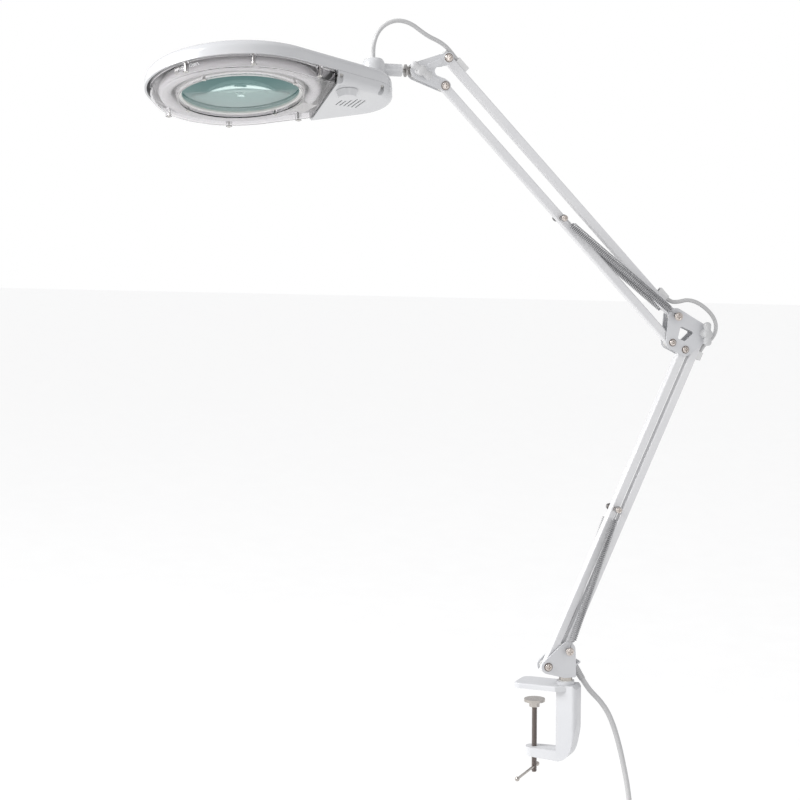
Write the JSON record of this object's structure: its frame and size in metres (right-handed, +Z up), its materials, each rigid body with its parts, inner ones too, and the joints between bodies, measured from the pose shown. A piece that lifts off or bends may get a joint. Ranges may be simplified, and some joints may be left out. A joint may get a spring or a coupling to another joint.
{
  "type": "magnifying lamp",
  "caption": "Bench magnifying lamp with a round lens inside a ring lamp, on a spring-balanced two-stage arm with a screw clamp and a coiled mains cord.",
  "frame": {"origin": "on the clamp jaw's underside, midway along the line where it meets the flat inner side of the clamp's spine: where the edge of a bench top meets its upper face", "axes": "+Z up, +X away from the bench through the clamp's spine, +Y along the bench's edge; the arm's plane is swung 39.5 degrees about +Z from the X axis"},
  "size_m": [0.5227, 0.4555, 1.0536],
  "materials": {
    "bracket_paint": "satin",
    "tube_paint": "satin",
    "tube_plugs": "satin",
    "nylon": "matte",
    "clamp_steel": "oiled",
    "bright_bolts": "polished",
    "neck_steel": "blackened",
    "springs": "plated",
    "knobs": "satin",
    "cord_grey": "satin",
    "head_white": "glossy",
    "clear_plastic": "clear",
    "screws": "plated",
    "reflector_white": "satin",
    "lens_ring": "satin",
    "lens_glass": "polished",
    "lamp_glass": "white coating inside",
    "ballast": "matte",
    "stud_metal": "plated"
  },
  "bodies": {
    "clamp": {"clamp_frame": "bracket_paint", "swivel_bush": "nylon"},
    "pad": {"clamp_pad": "clamp_steel"},
    "screw": {"clamp_screw": "clamp_steel"},
    "tee": {"tee_bar": "clamp_steel"},
    "base": {"base_bracket": "bracket_paint", "base_post": "clamp_steel", "base_bolts": "bright_bolts", "base_washers": "nylon", "cord_gland": "cord_grey", "mains_cord": "cord_grey", "cord_coil": "cord_grey", "coil_tie": "cord_grey", "mains_plug": "cord_grey"},
    "lower_front": {"lower_front_tube": "tube_paint", "lower_front_plugs": "tube_plugs", "lower_anchor_bolt": "bright_bolts"},
    "lower_rear": {"lower_rear_tube": "tube_paint", "lower_rear_plugs": "tube_plugs", "lower_lead_cap": "tube_plugs"},
    "elbow": {"elbow_plates": "bracket_paint", "elbow_bolts": "bright_bolts", "elbow_spacers": "nylon", "elbow_lead": "cord_grey"},
    "elbow_knob": {"elbow_wing_knob": "knobs"},
    "upper_front": {"upper_front_tube": "tube_paint", "upper_front_plugs": "tube_plugs", "upper_anchor_bolt": "bright_bolts"},
    "upper_back": {"upper_back_tube": "tube_paint", "upper_back_plugs": "tube_plugs", "upper_lead_caps": "tube_plugs"},
    "fork": {"fork_plates": "bracket_paint", "fork_bolts": "bright_bolts", "fork_spacers": "nylon", "head_lead": "cord_grey"},
    "fork_knob": {"fork_wing_knob": "knobs"},
    "tongue": {"tilt_tongue": "neck_steel", "neck_screw": "neck_steel"},
    "neck": {"neck_tube": "head_white", "neck_dome": "head_white", "swivel_stud": "stud_metal", "lead_grommet": "cord_grey"},
    "head": {"housing_top": "head_white", "housing_bottom": "head_white", "housing_fasteners": "screws", "clear_cover": "clear_plastic", "cover_screws": "bright_bolts", "reflector": "reflector_white", "lens_rings": "lens_ring", "lens": "lens_glass", "lamp_tube": "lamp_glass", "lamp_holder": "lens_ring", "lamp_clips": "lens_ring", "ballast_and_switch": "ballast"},
    "lid": {"lens_lid": "head_white"},
    "switch_knob": {"switch_knob": "head_white"},
    "lower_springs": {"lower_springs": "springs"},
    "lower_spring_tops": {"lower_spring_hooks": "springs"},
    "upper_springs": {"upper_springs": "springs"},
    "upper_spring_tops": {"upper_spring_hooks": "springs"}
  },
  "joints": [
    {"name": "screw_turn", "type": "hinge", "parent": "pad", "child": "screw", "pos_m": [-0.03, 0, -0.02], "axis": [0, 0, 1], "range_deg": [-14400, 2520]},
    {"name": "clamp_feed", "type": "slide", "parent": "clamp", "child": "pad", "axis": [0, 0, 1], "range_m": [-0.04, 0.007]},
    {"name": "tee_slide", "type": "slide", "parent": "screw", "child": "tee", "axis": [0, 1, 0], "range_m": [-0.0045, 0.05]},
    {"name": "base_swivel", "type": "hinge", "parent": "clamp", "child": "base", "pos_m": [0.007, 0, 0], "axis": [0, 0, 1], "range_deg": [-120, 60]},
    {"name": "lower_arm", "type": "hinge", "parent": "base", "child": "lower_rear", "pos_m": [0.00634, -0.00055, 0.04611], "axis": [0.6361, -0.7716, 0], "range_deg": [-6, 52]},
    {"name": "lower_front_link", "type": "hinge", "parent": "base", "child": "lower_front", "pos_m": [-0.01129, -0.01507, 0.0283], "axis": [0.6361, -0.7716, 0], "range_deg": [-6, 52]},
    {"name": "elbow_level", "type": "hinge", "parent": "lower_rear", "child": "elbow", "pos_m": [0.13113, 0.10233, 0.40099], "axis": [0.6361, -0.7716, 0], "range_deg": [-52, 6], "deforming": ["elbow_lead"]},
    {"name": "elbow_knob_turn", "type": "hinge", "parent": "elbow", "child": "elbow_knob", "pos_m": [0.13113, 0.10233, 0.40099], "axis": [0.6361, -0.7716, 0], "range_deg": [-180, 180]},
    {"name": "upper_arm", "type": "hinge", "parent": "elbow", "child": "upper_back", "pos_m": [0.10429, 0.0802, 0.42129], "axis": [0.6361, -0.7716, 0], "range_deg": [-20, 55]},
    {"name": "upper_front_link", "type": "hinge", "parent": "elbow", "child": "upper_front", "pos_m": [0.10142, 0.07783, 0.39149], "axis": [0.6361, -0.7716, 0], "range_deg": [-20, 55]},
    {"name": "fork_level", "type": "hinge", "parent": "upper_back", "child": "fork", "pos_m": [-0.10323, -0.09087, 0.70372], "axis": [0.6361, -0.7716, 0], "range_deg": [-55, 20], "deforming": ["head_lead"]},
    {"name": "fork_knob_turn", "type": "hinge", "parent": "fork", "child": "fork_knob", "pos_m": [-0.12881, -0.11195, 0.6892], "axis": [0.6361, -0.7716, 0], "range_deg": [-180, 180]},
    {"name": "head_tilt", "type": "hinge", "parent": "fork", "child": "tongue", "pos_m": [-0.12881, -0.11195, 0.6892], "axis": [0.6361, -0.7716, 0], "range_deg": [-45, 60]},
    {"name": "neck_roll", "type": "hinge", "parent": "tongue", "child": "neck", "pos_m": [-0.16622, -0.14279, 0.69055], "axis": [-0.7713, -0.6358, 0.0279], "range_deg": [-60, 60]},
    {"name": "head_swivel", "type": "hinge", "parent": "neck", "child": "head", "pos_m": [-0.16622, -0.14279, 0.69055], "axis": [-0.1643, 0.2413, 0.9564], "range_deg": [-60, 60]},
    {"name": "lid_flip", "type": "hinge", "parent": "head", "child": "lid", "pos_m": [-0.19851, -0.17141, 0.68669], "axis": [-0.6149, 0.7331, -0.2906], "range_deg": [0, 95]},
    {"name": "switch_turn", "type": "hinge", "parent": "head", "child": "switch_knob", "pos_m": [-0.16823, -0.20598, 0.66443], "axis": [-0.1643, 0.2413, 0.9564], "range_deg": [0, 90]},
    {"name": "lower_spring_swing", "type": "hinge", "parent": "base", "child": "lower_springs", "pos_m": [0.00634, -0.00055, 0.04611], "axis": [0.6361, -0.7716, 0], "range_deg": [-7, 58]},
    {"name": "lower_spring_stretch", "type": "slide", "parent": "lower_springs", "child": "lower_spring_tops", "axis": [0.2631, 0.2169, 0.9401], "range_m": [-0.003, 0.022], "deforming": ["lower_springs", "lower_spring_hooks"]},
    {"name": "upper_spring_swing", "type": "hinge", "parent": "elbow", "child": "upper_springs", "pos_m": [0.10429, 0.0802, 0.42129], "axis": [0.6361, -0.7716, 0], "range_deg": [-21, 58]},
    {"name": "upper_spring_stretch", "type": "slide", "parent": "upper_springs", "child": "upper_spring_tops", "axis": [-0.6013, -0.4957, 0.6267], "range_m": [-0.01, 0.027], "deforming": ["upper_springs", "upper_spring_hooks"]}
  ],
  "couplings": [
    {"joint": "clamp_feed", "follows": "screw_turn", "m_per_rad": 0.00015915},
    {"joint": "lower_front_link", "follows": "lower_arm", "ratio": 1},
    {"joint": "elbow_level", "follows": "lower_arm", "ratio": -1},
    {"joint": "upper_front_link", "follows": "upper_arm", "ratio": 1},
    {"joint": "fork_level", "follows": "upper_arm", "ratio": -1},
    {"joint": "lower_spring_swing", "follows": "lower_arm", "ratio": 1.09},
    {"joint": "lower_spring_stretch", "follows": "lower_arm", "m_per_rad": 0.0225},
    {"joint": "upper_spring_swing", "follows": "upper_arm", "ratio": 1.037},
    {"joint": "upper_spring_stretch", "follows": "upper_arm", "m_per_rad": 0.027}
  ]
}
